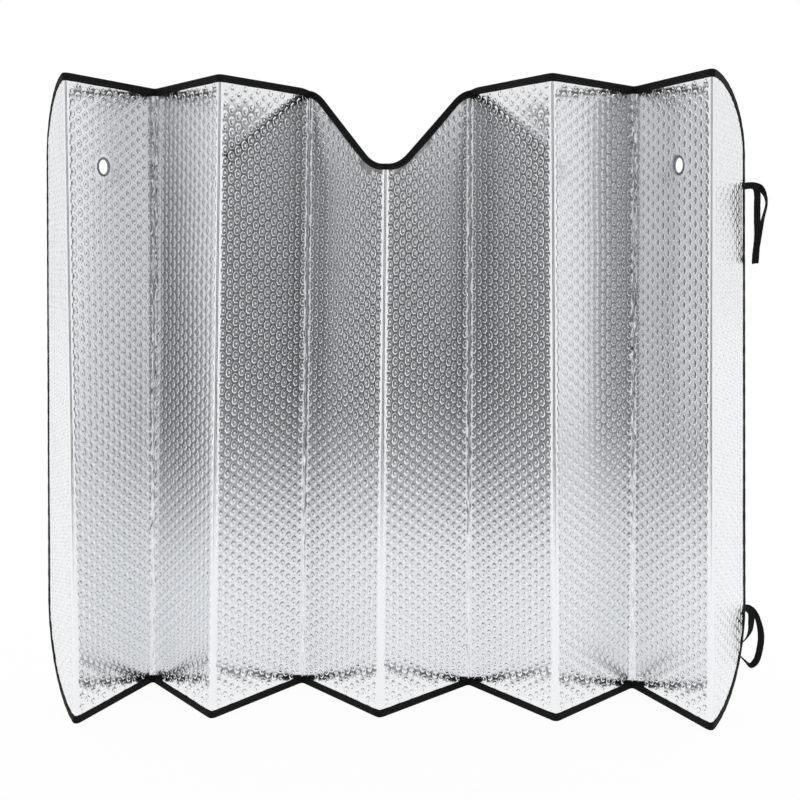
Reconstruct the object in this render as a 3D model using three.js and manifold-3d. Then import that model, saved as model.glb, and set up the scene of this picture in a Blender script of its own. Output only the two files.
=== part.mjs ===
// Folding windscreen sunshade: one sheet of foil-faced bubble film, standing open in a zigzag.
// Millimetres. +X across the windscreen, +Y away from the viewer, +Z up, base on the ground.

import * as THREE from 'three';
import { mergeVertices } from 'three/addons/utils/BufferGeometryUtils.js';
import Module from 'manifold-3d';

const wasm = await Module();
wasm.setup();

// Cut size of the sheet, laid flat
const PANEL_WIDTH = 130;
const SHEET_HEIGHT = 600;

// Plan direction of each panel, left to right, in degrees from +X; positive panels run away
const HEAD_DIRECTIONS = [-68.9, 63.5, -54.0, 55.7, -54.6, 52.0, -59.0, 46.6, -69.7, 63.9];
const FOOT_DIRECTIONS = [-65.2, 69.1, -55.8, 54.4, -52.6, 47.9, -55.0, 48.3, -68.0, 62.6];
// How far the head of the left edge leans in over its foot
const HEAD_LEAN_X = 5.7;
const HEAD_LEAN_Y = 1.5;

// Film: two foils with a layer of bubbles, welded flat at the creases and along the edge
const FILM_THICKNESS = 2.6;
const WELD_THICKNESS = 0.8;
const WELD_WIDTH = 6.4;
const BUBBLE_RAMP = 2.5;

// Rounded outer corners of the two end panels
const TOP_CORNER_HEIGHT = 68;
const BOTTOM_CORNER_HEIGHT = 90;

// Mirror notch in the top edge
const NOTCH_DEPTH = 81;
const NOTCH_FLANK_ANGLE = 37.6;
const NOTCH_BOTTOM_RADIUS = 51;
const NOTCH_SHOULDER_RADIUS = 66;

// Punched holes, one in each second panel
const HOLE_DIAMETER = 13.6;
const HOLE_FROM_CREASE = 51;
const HOLE_FROM_TOP = 82;

// Edge binding: one tape folded over the cut edge
const BINDING_WIDTH = 6.9;
const BINDING_TAPE = 0.5;
const BINDING_ROUNDING = 0.4;
const PIECE_GAP = 0.3;

// Elastic loops, sewn by both ends to the back of the binding on the right edge
const STRAP_WIDTH = 6.5;
const STRAP_THICKNESS = 1.0;
const STRAP_SEAT = 6;
const UPPER_STRAP_HEIGHT = 502;
const LOWER_STRAP_HEIGHT = 83;

// Fineness of the faceting
const FOLD_STEPS = 4;
const CORNER_STEPS = 8;
const SIDE_STEPS = 6;
const NOTCH_STEPS = 5;
const PANEL_ROWS = 8;
const WIDEST_SPAN = 62;
const NARROWEST_SPAN = 2;
const HOLE_SIDES = 28;
const STRAP_STEPS = 44;

const panelCount = HEAD_DIRECTIONS.length;
const sheetWidth = panelCount * PANEL_WIDTH;
const halfFilm = FILM_THICKNESS / 2;
const halfWeld = WELD_THICKNESS / 2;
const halfBinding = halfWeld + PIECE_GAP + BINDING_TAPE;
const foldReach = WELD_WIDTH / 2 + BUBBLE_RAMP;
const cornerWidth = PANEL_WIDTH - foldReach;

// Insets from the outline: the sheet's cut edge, the end of its flat margin, its full thickness
const cutInset = BINDING_TAPE + PIECE_GAP;
const marginInset = BINDING_WIDTH + PIECE_GAP;
const filmInset = marginInset + BUBBLE_RAMP;

// Height of the top edge above the base, at a distance from the notch's middle and an inset
const flank = THREE.MathUtils.degToRad(NOTCH_FLANK_ANGLE);
const notchCentreHeight = SHEET_HEIGHT - NOTCH_DEPTH + NOTCH_BOTTOM_RADIUS;
const shoulderHeight = SHEET_HEIGHT - NOTCH_SHOULDER_RADIUS;
const arcsTogether = (NOTCH_BOTTOM_RADIUS + NOTCH_SHOULDER_RADIUS) / Math.cos(flank);
const shoulderDistance = (shoulderHeight - notchCentreHeight + arcsTogether) / Math.tan(flank);

function topEdge(s, inset) {
  const x = Math.abs(s - sheetWidth / 2);
  const bottomRadius = NOTCH_BOTTOM_RADIUS + inset;
  const shoulderRadius = NOTCH_SHOULDER_RADIUS - inset;
  if (x <= bottomRadius * Math.sin(flank)) {
    return notchCentreHeight - Math.sqrt(bottomRadius ** 2 - x ** 2);
  }
  if (x < shoulderDistance - shoulderRadius * Math.sin(flank)) {
    return notchCentreHeight + x * Math.tan(flank) - bottomRadius / Math.cos(flank);
  }
  if (x < shoulderDistance) {
    return shoulderHeight + Math.sqrt(shoulderRadius ** 2 - (x - shoulderDistance) ** 2);
  }
  return SHEET_HEIGHT - inset;
}

// Places across the sheet where its faces are divided: fine at the creases and in the notch
function columns() {
  const creases = [];
  for (let i = 1; i < panelCount; i++) {
    creases.push(i * PANEL_WIDTH);
  }
  const places = [];
  for (const crease of creases) {
    places.push(crease - foldReach, crease + foldReach);
    for (let k = 0; k <= FOLD_STEPS; k++) {
      places.push(crease + WELD_WIDTH * (k / FOLD_STEPS - 0.5));
    }
  }
  const clearOfPlaces = (s) => places.every((p) => Math.abs(p - s) >= NARROWEST_SPAN);
  const first = Math.min(...places);
  const last = Math.max(...places);
  for (const side of [-1, 1]) {
    for (let k = 0; k <= NOTCH_STEPS; k++) {
      const turn = (flank * k) / NOTCH_STEPS;
      const onBottom = NOTCH_BOTTOM_RADIUS * Math.sin(turn);
      const onShoulder = shoulderDistance - NOTCH_SHOULDER_RADIUS * Math.sin(turn);
      for (const x of [onBottom, onShoulder]) {
        const s = sheetWidth / 2 + side * x;
        if (s > first && s < last && clearOfPlaces(s)) {
          places.push(s);
        }
      }
    }
  }
  places.sort((a, b) => a - b);
  const divided = [places[0]];
  for (let k = 1; k < places.length; k++) {
    const span = places[k] - places[k - 1];
    const parts = Math.ceil(span / WIDEST_SPAN);
    for (let part = 1; part <= parts; part++) {
      divided.push(places[k - 1] + (span * part) / parts);
    }
  }
  return divided;
}

// Stations round the outline, anticlockwise seen from the front; each gives its place at an inset
function corner(right, top) {
  const height = top ? TOP_CORNER_HEIGHT : BOTTOM_CORNER_HEIGHT;
  const stations = [];
  for (let k = 0; k <= CORNER_STEPS; k++) {
    const turn = (Math.PI / 2) * (k / CORNER_STEPS);
    stations.push((inset) => {
      const s = cornerWidth - (cornerWidth - inset) * Math.cos(turn);
      const z = height - (height - inset) * Math.sin(turn);
      return [right ? sheetWidth - s : s, top ? SHEET_HEIGHT - z : z];
    });
  }
  return stations;
}

function side(right) {
  const stations = [];
  const length = SHEET_HEIGHT - TOP_CORNER_HEIGHT - BOTTOM_CORNER_HEIGHT;
  for (let k = 1; k < SIDE_STEPS; k++) {
    const z = BOTTOM_CORNER_HEIGHT + (length * k) / SIDE_STEPS;
    stations.push((inset) => [right ? sheetWidth - inset : inset, z]);
  }
  return stations;
}

const columnPlaces = columns();
const innerPlaces = columnPlaces.slice(1, -1);
const bottomStations = innerPlaces.map((s) => (inset) => [s, inset]);
const topStations = innerPlaces.map((s) => (inset) => [s, topEdge(s, inset)]);
const outline = [
  ...corner(false, false),
  ...bottomStations,
  ...corner(true, false).reverse(),
  ...side(true),
  ...corner(true, true),
  ...topStations.slice().reverse(),
  ...corner(false, true).reverse(),
  ...side(false).reverse(),
];

// The fold: plan place and direction of a point of the flat sheet, on the head or the foot line
function foldedLine(directions, startX, startY) {
  const turns = directions.map((d) => THREE.MathUtils.degToRad(d));
  const stretches = [];
  let x = startX;
  let y = startY;
  let from = 0;
  const add = (to, startTurn, endTurn) => {
    const stretch = { from, to, x, y, startTurn, bend: (endTurn - startTurn) / (to - from) };
    stretches.push(stretch);
    const end = alongStretch(stretch, to);
    x = end.x;
    y = end.y;
    from = to;
  };
  for (let i = 0; i < turns.length; i++) {
    const last = i === turns.length - 1;
    const crease = (i + 1) * PANEL_WIDTH;
    add(last ? crease : crease - WELD_WIDTH / 2, turns[i], turns[i]);
    if (!last) {
      add(crease + WELD_WIDTH / 2, turns[i], turns[i + 1]);
    }
  }
  return stretches;
}

function alongStretch(stretch, s) {
  const run = s - stretch.from;
  const turn = stretch.startTurn + stretch.bend * run;
  if (stretch.bend === 0) {
    return {
      x: stretch.x + run * Math.cos(turn),
      y: stretch.y + run * Math.sin(turn),
      turn,
    };
  }
  return {
    x: stretch.x + (Math.sin(turn) - Math.sin(stretch.startTurn)) / stretch.bend,
    y: stretch.y - (Math.cos(turn) - Math.cos(stretch.startTurn)) / stretch.bend,
    turn,
  };
}

const headLine = foldedLine(HEAD_DIRECTIONS, HEAD_LEAN_X, HEAD_LEAN_Y);
const footLine = foldedLine(FOOT_DIRECTIONS, 0, 0);

function onLine(line, s) {
  return alongStretch(line.find((stretch) => s <= stretch.to) ?? line[line.length - 1], s);
}

// Point at s across the sheet, z up it, and a distance out of its front face
function folded(s, z, out) {
  const head = onLine(headLine, s);
  const foot = onLine(footLine, s);
  const up = z / SHEET_HEIGHT;
  const turn = THREE.MathUtils.lerp(foot.turn, head.turn, up);
  return new THREE.Vector3(
    THREE.MathUtils.lerp(foot.x, head.x, up) + out * Math.sin(turn),
    THREE.MathUtils.lerp(foot.y, head.y, up) - out * Math.cos(turn),
    z,
  );
}

function directionAt(s, z) {
  const turn = THREE.MathUtils.lerp(
    onLine(footLine, s).turn,
    onLine(headLine, s).turn,
    z / SHEET_HEIGHT,
  );
  return new THREE.Vector3(Math.cos(turn), Math.sin(turn), 0);
}

function closedMesh(points, triangles) {
  const geometry = new THREE.BufferGeometry();
  const positions = points.flatMap((p) => [p.x, p.y, p.z]);
  geometry.setAttribute('position', new THREE.Float32BufferAttribute(positions, 3));
  geometry.setIndex(triangles.flat());
  return geometry;
}

// Whether a place across the sheet lies in the flat weld of a crease
function inWeld(s) {
  const crease = Math.round(s / PANEL_WIDTH);
  const inside = crease > 0 && crease < panelCount;
  return inside && Math.abs(s - crease * PANEL_WIDTH) < WELD_WIDTH / 2 + BUBBLE_RAMP / 2;
}

// The folded sheet: margin rings round the outline, then rows and columns inside them
function sheetGeometry() {
  const flat = [];
  const faces = [];
  const addPoint = (s, z, half) => flat.push({ s, z, half: inWeld(s) ? halfWeld : half }) - 1;
  const addQuad = (a, b, c, d) => faces.push([a, b, c], [a, c, d]);

  const rings = [cutInset, marginInset, filmInset].map((inset) => {
    const half = inset < filmInset ? halfWeld : halfFilm;
    return outline.map((station) => {
      const [s, z] = station(inset);
      return addPoint(s, z, half);
    });
  });
  const count = outline.length;
  for (let ring = 0; ring < rings.length - 1; ring++) {
    for (let i = 0; i < count; i++) {
      const next = (i + 1) % count;
      const outer = rings[ring];
      const inner = rings[ring + 1];
      addQuad(outer[i], outer[next], inner[next], inner[i]);
    }
  }

  const inner = rings[rings.length - 1];
  const bottomStart = CORNER_STEPS;
  const topStart = 3 * CORNER_STEPS + columnPlaces.length + SIDE_STEPS - 1;
  const grid = columnPlaces.map((s, k) => {
    const low = inner[bottomStart + k];
    const high = inner[topStart + columnPlaces.length - 1 - k];
    const column = [low];
    for (let row = 1; row < PANEL_ROWS; row++) {
      const z = THREE.MathUtils.lerp(flat[low].z, flat[high].z, row / PANEL_ROWS);
      column.push(addPoint(s, z, halfFilm));
    }
    column.push(high);
    return column;
  });
  for (let k = 0; k < grid.length - 1; k++) {
    for (let row = 0; row < PANEL_ROWS; row++) {
      addQuad(grid[k][row], grid[k + 1][row], grid[k + 1][row + 1], grid[k][row + 1]);
    }
  }

  // Each end panel's face runs from the first or last column out to its rounded edge
  const leftEdge = [...inner.slice(topStart + columnPlaces.length - 1), ...inner.slice(0, bottomStart + 1)];
  const rightEdge = inner.slice(bottomStart + columnPlaces.length - 1, topStart + 1);
  const leftPanel = [...leftEdge, ...grid[0].slice(1, -1)];
  const rightPanel = [...rightEdge, ...grid[grid.length - 1].slice(1, -1).reverse()];
  for (const panel of [leftPanel, rightPanel]) {
    const corners = panel.map((index) => new THREE.Vector2(flat[index].s, flat[index].z));
    for (const [a, b, c] of THREE.ShapeUtils.triangulateShape(corners, [])) {
      faces.push([panel[a], panel[b], panel[c]]);
    }
  }

  const points = [];
  for (const { s, z, half } of flat) {
    points.push(folded(s, z, half));
  }
  for (const { s, z, half } of flat) {
    points.push(folded(s, z, -half));
  }
  const back = flat.length;
  const triangles = [];
  for (const [a, b, c] of faces) {
    triangles.push([a, b, c], [back + a, back + c, back + b]);
  }
  for (let i = 0; i < count; i++) {
    const a = rings[0][i];
    const b = rings[0][(i + 1) % count];
    triangles.push([a, back + a, back + b], [a, back + b, b]);
  }
  return closedMesh(points, triangles);
}

function toSolid(geometry) {
  const merged = mergeVertices(geometry);
  return new wasm.Manifold(new wasm.Mesh({
    numProp: 3,
    vertProperties: new Float32Array(merged.attributes.position.array),
    triVerts: new Uint32Array(merged.index.array),
  }));
}

function fromSolid(solid) {
  const mesh = solid.getMesh();
  const geometry = new THREE.BufferGeometry();
  geometry.setAttribute('position', new THREE.BufferAttribute(mesh.vertProperties, 3));
  geometry.setIndex(new THREE.BufferAttribute(mesh.triVerts, 1));
  return geometry;
}

// Punch for one hole: a round bar square to the film
function holePunch(s) {
  const z = SHEET_HEIGHT - HOLE_FROM_TOP;
  const length = 4 * FILM_THICKNESS;
  const bar = new THREE.CylinderGeometry(HOLE_DIAMETER / 2, HOLE_DIAMETER / 2, length, HOLE_SIDES);
  bar.deleteAttribute('normal');
  bar.deleteAttribute('uv');
  const across = directionAt(s, z);
  const back = new THREE.Vector3(-across.y, across.x, 0);
  const basis = new THREE.Matrix4().makeBasis(across, back, new THREE.Vector3(0, 0, 1));
  bar.applyMatrix4(basis);
  const centre = folded(s, z, 0);
  bar.translate(centre.x, centre.y, centre.z);
  return toSolid(bar);
}

function punchedSheet() {
  const holeFromEdge = PANEL_WIDTH + HOLE_FROM_CREASE;
  const solid = toSolid(sheetGeometry())
    .subtract(holePunch(holeFromEdge))
    .subtract(holePunch(sheetWidth - holeFromEdge));
  return fromSolid(solid);
}

// The binding's section, as pairs of inset from the outline and distance out of the mid-film
function bindingSection() {
  const slot = halfWeld + PIECE_GAP;
  return [
    [BINDING_ROUNDING, halfBinding],
    [0, halfBinding - BINDING_ROUNDING],
    [0, BINDING_ROUNDING - halfBinding],
    [BINDING_ROUNDING, -halfBinding],
    [BINDING_WIDTH, -halfBinding],
    [BINDING_WIDTH, -slot],
    [BINDING_TAPE, -slot],
    [BINDING_TAPE, slot],
    [BINDING_WIDTH, slot],
    [BINDING_WIDTH, halfBinding],
  ];
}

function bindingGeometry() {
  const section = bindingSection();
  const points = outline.flatMap((station) => section.map(([inset, out]) => {
    const [s, z] = station(inset);
    return folded(s, z, out);
  }));
  const triangles = [];
  const count = section.length;
  for (let i = 0; i < outline.length; i++) {
    const here = i * count;
    const there = ((i + 1) % outline.length) * count;
    for (let k = 0; k < count; k++) {
      const next = (k + 1) % count;
      triangles.push([here + k, here + next, there + next], [here + k, there + next, there + k]);
    }
  }
  return closedMesh(points, triangles);
}

// Route of each loop from seat to seat: across, away and up from the binding's edge, and how far
// the tape has turned edge-on to the viewer, in degrees
const UPPER_STRAP_ROUTE = [
  [8.1, 6.0, 1.4, 0],
  [12.8, 7.0, -0.2, 0],
  [14.8, 7.4, -6.0, 0],
  [15.0, 7.5, -19.0, 0],
  [15.2, 7.5, -34.0, 0],
  [15.7, 7.5, -47.0, 0],
  [14.8, 7.5, -61.0, 0],
  [14.1, 7.5, -73.6, 0],
  [14.2, 8.6, -74.7, 0],
  [14.3, 9.7, -73.6, 0],
  [15.2, 9.6, -61.0, 10],
  [17.5, 9.6, -48.0, 45],
  [21.3, 9.8, -31.5, 80],
  [24.8, 10.0, -15.8, 90],
  [23.3, 10.0, -8.0, 75],
  [18.4, 9.6, -0.6, 30],
  [10.6, 8.2, 1.7, 0],
];
const LOWER_STRAP_ROUTE = [
  [5.1, 4.6, -2.5, 0],
  [8.0, 5.6, -6.7, 0],
  [8.2, 5.8, -14.9, 10],
  [7.5, 6.2, -24.2, 35],
  [4.5, 7.4, -31.7, 60],
  [0.3, 8.8, -37.4, 70],
  [-4.7, 10.6, -42.2, 80],
  [-5.9, 11.6, -47.1, 88],
  [-1.1, 11.6, -51.8, 88],
  [4.0, 11.2, -56.8, 80],
  [9.3, 10.6, -61.3, 60],
  [14.5, 10.0, -56.9, 30],
  [18.2, 9.6, -44.0, 12],
  [19.2, 9.2, -29.6, 25],
  [16.1, 8.8, -14.7, 50],
  [11.6, 8.2, -6.4, 25],
  [6.2, 7.0, -1.8, 0],
];

// Where the tape runs this nearly along the line of sight, it keeps the width it came with
const SHARP_FOLD = 0.3;

// A flat tape swept along its route, its width turning evenly between the route's points
function strapGeometry(height, route) {
  const edge = folded(sheetWidth, height, 0);
  const outward = directionAt(sheetWidth, height);
  const back = new THREE.Vector3(-outward.y, outward.x, 0);
  const seat = (along, layer) => {
    const depth = halfBinding + PIECE_GAP + STRAP_THICKNESS / 2;
    const behind = depth + layer * (STRAP_THICKNESS + PIECE_GAP);
    return edge.clone().addScaledVector(outward, along).addScaledVector(back, behind);
  };
  const free = route.map(([across, away, up]) => edge.clone().add(new THREE.Vector3(across, away, up)));
  const points = [seat(-STRAP_SEAT, 0), seat(-STRAP_SEAT / 2, 0), seat(0, 0), ...free];
  points.push(seat(0, 1), seat(-STRAP_SEAT / 2, 1), seat(-STRAP_SEAT, 1));
  const facings = [0, 0, 0, ...route.map((stop) => stop[3]), 0, 0, 0];
  const curve = new THREE.CatmullRomCurve3(points, false, 'centripetal');

  const viewing = new THREE.Vector3(0, 1, 0);
  const rings = [];
  let lastWidth = new THREE.Vector3(0, 0, 1);
  for (let i = 0; i <= STRAP_STEPS; i++) {
    const share = i / STRAP_STEPS;
    const place = share * (points.length - 1);
    const stop = Math.min(Math.floor(place), points.length - 2);
    const facing = THREE.MathUtils.lerp(facings[stop], facings[stop + 1], place - stop);
    const turn = THREE.MathUtils.degToRad(facing);
    const centre = curve.getPoint(share);
    const tangent = curve.getTangent(share);
    const broadside = tangent.clone().cross(viewing);
    let width = lastWidth.clone();
    if (broadside.length() > SHARP_FOLD) {
      broadside.normalize();
      width = broadside.multiplyScalar(Math.cos(turn)).addScaledVector(viewing, Math.sin(turn));
    }
    width.addScaledVector(tangent, -width.dot(tangent)).normalize();
    if (width.dot(lastWidth) < 0) {
      width.negate();
    }
    lastWidth = width;
    const face = tangent.clone().cross(width);
    const ring = [[-1, -1], [1, -1], [1, 1], [-1, 1]].map(([w, t]) => centre.clone()
      .addScaledVector(width, (w * STRAP_WIDTH) / 2)
      .addScaledVector(face, (t * STRAP_THICKNESS) / 2));
    rings.push(ring);
  }
  const triangles = [[0, 2, 1], [0, 3, 2]];
  for (let i = 0; i < rings.length - 1; i++) {
    for (let k = 0; k < 4; k++) {
      const next = (k + 1) % 4;
      const a = i * 4 + k;
      const b = i * 4 + next;
      triangles.push([a, b, b + 4], [a, b + 4, a + 4]);
    }
  }
  const end = (rings.length - 1) * 4;
  triangles.push([end, end + 1, end + 2], [end, end + 2, end + 3]);
  return closedMesh(rings.flat(), triangles);
}

// Finishes
const foil = new THREE.MeshStandardMaterial({ color: 0xd9dce0, roughness: 0.25, metalness: 1 });
const blackTape = new THREE.MeshStandardMaterial({ color: 0x17181a, roughness: 0.85, metalness: 0 });
const blackElastic = new THREE.MeshStandardMaterial({ color: 0x101113, roughness: 0.75, metalness: 0 });

const group = new THREE.Group();
const bounds = new THREE.Box3();
function addPiece(name, geometry, material) {
  const mesh = new THREE.Mesh(geometry, material);
  mesh.name = name;
  geometry.computeBoundingBox();
  bounds.union(geometry.boundingBox);
  group.add(mesh);
}

addPiece('foil_sheet', punchedSheet(), foil);
addPiece('edge_binding', bindingGeometry(), blackTape);
addPiece('upper_strap', strapGeometry(UPPER_STRAP_HEIGHT, UPPER_STRAP_ROUTE), blackElastic);
addPiece('lower_strap', strapGeometry(LOWER_STRAP_HEIGHT, LOWER_STRAP_ROUTE), blackElastic);

// Origin on the ground, under the middle of the whole
const middle = bounds.getCenter(new THREE.Vector3());
group.position.set(-middle.x, -middle.y, -bounds.min.z);

export default group;
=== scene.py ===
import math

import bpy
import numpy as np
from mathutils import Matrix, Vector, kdtree
from mathutils.geometry import delaunay_2d_cdt


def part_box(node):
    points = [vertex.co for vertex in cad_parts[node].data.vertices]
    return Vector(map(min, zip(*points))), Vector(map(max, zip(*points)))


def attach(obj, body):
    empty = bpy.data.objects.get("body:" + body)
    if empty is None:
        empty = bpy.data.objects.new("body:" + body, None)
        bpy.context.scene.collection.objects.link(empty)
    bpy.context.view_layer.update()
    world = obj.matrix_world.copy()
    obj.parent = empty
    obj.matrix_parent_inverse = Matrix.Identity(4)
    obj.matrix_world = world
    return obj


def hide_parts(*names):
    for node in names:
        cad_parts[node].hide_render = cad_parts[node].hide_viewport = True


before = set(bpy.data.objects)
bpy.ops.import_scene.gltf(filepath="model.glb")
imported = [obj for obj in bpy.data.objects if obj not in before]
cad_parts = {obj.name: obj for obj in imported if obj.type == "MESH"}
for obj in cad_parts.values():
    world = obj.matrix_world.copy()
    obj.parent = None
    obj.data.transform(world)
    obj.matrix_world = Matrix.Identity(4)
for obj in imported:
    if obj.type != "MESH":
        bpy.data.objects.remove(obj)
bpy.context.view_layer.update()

# Front film of the bubble foil: thin aluminised plastic, blown up into rows of air bubbles.
# One sheet 1300 mm by 600 mm, cut to the outline with the mirror notch and folded in ten panels.
# It is welded to the back film along the nine creases, round the holes and under the binding.
PANEL = 0.130
HEIGHT = 0.600
WIDTH = 10 * PANEL
HEAD_DIRECTIONS = (-68.9, 63.5, -54.0, 55.7, -54.6, 52.0, -59.0, 46.6, -69.7, 63.9)
FOOT_DIRECTIONS = (-65.2, 69.1, -55.8, 54.4, -52.6, 47.9, -55.0, 48.3, -68.0, 62.6)
HEAD_LEAN = (0.0057, 0.0015)
# Each crease turns in three arcs, the middle one sharp: their lengths and shares of the turn
CREASE_ARCS = ((0.0037, 0.30), (0.0008, 0.40), (0.0037, 0.30))
CREASE_REACH = sum(length for length, _ in CREASE_ARCS) / 2


def fold_line(directions, x, y):
    """Rows of start, x, y, turn and bend: straight over each panel, arcs over each crease."""
    turns = np.radians(directions)
    rows = []
    start = 0.0
    for i, turn in enumerate(turns):
        stop = WIDTH if i == 9 else (i + 1) * PANEL - CREASE_REACH
        rows.append((start, x, y, turn, 0.0))
        x += (stop - start) * math.cos(turn)
        y += (stop - start) * math.sin(turn)
        start = stop
        if i == 9:
            break
        for length, share in CREASE_ARCS:
            bend = (turns[i + 1] - turns[i]) * share / length
            rows.append((start, x, y, turn, bend))
            after = turn + bend * length
            x += (math.sin(after) - math.sin(turn)) / bend
            y -= (math.cos(after) - math.cos(turn)) / bend
            turn = after
            start += length
    return np.array(rows)


HEAD_LINE = fold_line(HEAD_DIRECTIONS, *HEAD_LEAN)
FOOT_LINE = fold_line(FOOT_DIRECTIONS, 0.0, 0.0)


def on_line(line, s):
    start, x, y, turn, bend = line[np.searchsorted(line[:, 0], s, side="right").clip(1) - 1].T
    run = s - start
    end = turn + bend * run
    straight = bend == 0
    curve = np.where(straight, 1.0, bend)
    dx = np.where(straight, run * np.cos(turn), (np.sin(end) - np.sin(turn)) / curve)
    dy = np.where(straight, run * np.sin(turn), (np.cos(turn) - np.cos(end)) / curve)
    return x + dx, y + dy, end


def off_crease(s, z):
    """The creases aren't quite straight: near one, s is read a little to its side."""
    crease = np.round(s / PANEL).clip(1, 9)
    near = np.clip(1 - np.abs(s - crease * PANEL) / 0.012, 0, 1) ** 2
    wander = np.sin(z * 172 + crease * 1.7) + 0.6 * np.sin(z * 367 + crease * 2.9)
    return s + near * wander * 0.00022


def folded_raw(s, z, out):
    """Where a point of the flat sheet lies once folded; out is its distance out of the front."""
    s, z, out = np.broadcast_arrays(*(np.asarray(v, float) for v in (s, z, out)))
    bent = off_crease(s, z)
    head = on_line(HEAD_LINE, bent)
    foot = on_line(FOOT_LINE, bent)
    x, y, turn = (f + (h - f) * z / HEIGHT for h, f in zip(head, foot))
    return np.stack([x + out * np.sin(turn), y - out * np.cos(turn), z], -1)


# Cut outline as chains of s and z, left to right: round corners, mirror notch at the top
turn = np.radians(np.linspace(0, 90, 46))
corner = PANEL - 0.0057  # how far a round corner reaches along the sheet
bottom_corner = 0.090
top_corner = 0.068
left_s = corner * (1 - np.cos(turn))
notch_depth = 0.081
flank = math.radians(37.6)
bottom_radius = 0.051
shoulder_radius = 0.066
centre_height = HEIGHT - notch_depth + bottom_radius
arcs = (bottom_radius + shoulder_radius) / math.cos(flank)
shoulder = (HEIGHT - shoulder_radius - centre_height + arcs) / math.tan(flank)


def notch_height(s):
    x = np.abs(s - WIDTH / 2)
    on_bottom = centre_height - np.sqrt(np.maximum(bottom_radius**2 - x**2, 0))
    on_flank = centre_height + x * math.tan(flank) - bottom_radius / math.cos(flank)
    drop = np.sqrt(np.maximum(shoulder_radius**2 - (x - shoulder) ** 2, 0))
    on_shoulder = HEIGHT - shoulder_radius + drop
    steep = shoulder - shoulder_radius * math.sin(flank)
    height = np.where(x <= bottom_radius * math.sin(flank), on_bottom, on_flank)
    height = np.where(x >= steep, on_shoulder, height)
    return np.where(x >= shoulder, HEIGHT, height)


middle_s = np.linspace(corner, WIDTH - corner, 1053)[1:-1]
bottom_s = np.concatenate([left_s, middle_s, WIDTH - left_s[::-1]])
low = bottom_corner * (1 - np.sin(turn))
bottom_z = np.concatenate([low, middle_s * 0, low[::-1]])
high = HEIGHT - top_corner * (1 - np.sin(turn))
top_z = np.concatenate([high, notch_height(middle_s), high[::-1]])
side_z = np.linspace(bottom_corner, HEIGHT - top_corner, 443)[1:-1]
right_side = np.stack([side_z * 0 + WIDTH, side_z], -1)
left_side = np.stack([side_z * 0, side_z[::-1]], -1)
bottom_chain = np.stack([bottom_s, bottom_z], -1)
top_chain = np.stack([bottom_s, top_z], -1)[::-1]
OUTLINE = np.concatenate([bottom_chain, right_side, top_chain, left_side])
loop = np.concatenate([OUTLINE, OUTLINE[:1]])
run = np.concatenate([[0], np.cumsum(np.linalg.norm(np.diff(loop, axis=0), axis=1))])
ROUND = run[-1]


def edge_stations(spacing):
    """Even stations round the outline, with the direction in from the edge."""
    count = int(ROUND / spacing)
    even = np.linspace(0, ROUND, count, endpoint=False)
    at = np.stack([np.interp(even, run, loop[:, k]) for k in (0, 1)], -1)
    reach = max(1, round(0.003 / spacing))
    ahead = np.roll(at, -reach, axis=0) - np.roll(at, reach, axis=0)
    ahead /= np.linalg.norm(ahead, axis=1)[:, None]
    return even, at, np.stack([-ahead[:, 1], ahead[:, 0]], -1)


EDGE, INWARD = edge_stations(0.001)[1:]
edge_tree = kdtree.KDTree(len(EDGE))
for i, (s, z) in enumerate(EDGE):
    edge_tree.insert((s, z, 0), i)
edge_tree.balance()


def inset_of(points):
    """Distance in from the cut outline, negative outside it."""
    near = np.array([edge_tree.find((s, z, 0))[2] for s, z in points])
    above = points[:, 1] > np.interp(points[:, 0], bottom_s, bottom_z)
    below = points[:, 1] < np.interp(points[:, 0], bottom_s, top_z)
    inside = (points[:, 0] > 0) & (points[:, 0] < WIDTH) & above & below
    return np.where(inside, near, -near)


# The sheet's place in the row frame, from the edge of the modelled one
edge_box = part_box("edge_binding")
edge_raw = folded_raw(EDGE[:, 0], EDGE[:, 1], 0)
shift = np.zeros(3)
for k in (0, 1):
    middle_raw = (edge_raw[:, k].min() + edge_raw[:, k].max()) / 2
    shift[k] = (edge_box[0][k] + edge_box[1][k]) / 2 - middle_raw


def folded(s, z, out):
    return folded_raw(s, z, out) + shift


# Bubbles stand in fourteen columns a panel, each column half a step above the last.
# A foot is where a bubble leaves the flat film, and a crown is its round top.
COLUMN = 0.0090
STEP = 0.0106
FOOT_RADIUS = 0.00455
CROWN_RADIUS = 0.0036
CROWN_SLOPE = math.radians(5)
FOOT_SLOPE = math.radians(42)
CROWN_RISE = (FOOT_RADIUS - CROWN_RADIUS) * math.tan((CROWN_SLOPE + FOOT_SLOPE) / 2)
WELD_LEVEL = 0.0004
WEB_LEVEL = 0.00055
FILM_EDGE = 0.0010
SEALED_EDGE = 0.0072
BUBBLE_EDGE = 0.0082
HOLES = ((0.181, 0.518), (WIDTH - 0.181, 0.518))
HOLE_CIRCLES = (0.0071, 0.0086, 0.0104)
BUBBLE_FROM_HOLE = 0.0112
CREASE_LINES = (-0.0014, -0.0004, 0.0004, 0.0014)
rng = np.random.default_rng(11)

columns = []
for panel in range(10):
    first = panel * PANEL + (PANEL - 13 * COLUMN) / 2
    for k in range(14):
        z = np.arange(58) * STEP + 0.002 + (k % 2) * STEP / 2
        columns.append(np.stack([z * 0 + first + k * COLUMN, z], -1))
centres = np.concatenate(columns)
centres += rng.normal(0, 0.00010, centres.shape)
keep = inset_of(centres) > BUBBLE_EDGE
for s, z in HOLES:
    keep &= np.hypot(centres[:, 0] - s, centres[:, 1] - z) > BUBBLE_FROM_HOLE
centres = centres[keep]

size = rng.normal(1, 0.03, (len(centres), 1, 1))
lean = rng.normal(0, 0.00012, (len(centres), 1, 2))


def ring_of(sides, turned):
    angle = (np.arange(sides) + turned) * 2 * math.pi / sides
    return np.stack([np.cos(angle), np.sin(angle)], -1)


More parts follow.
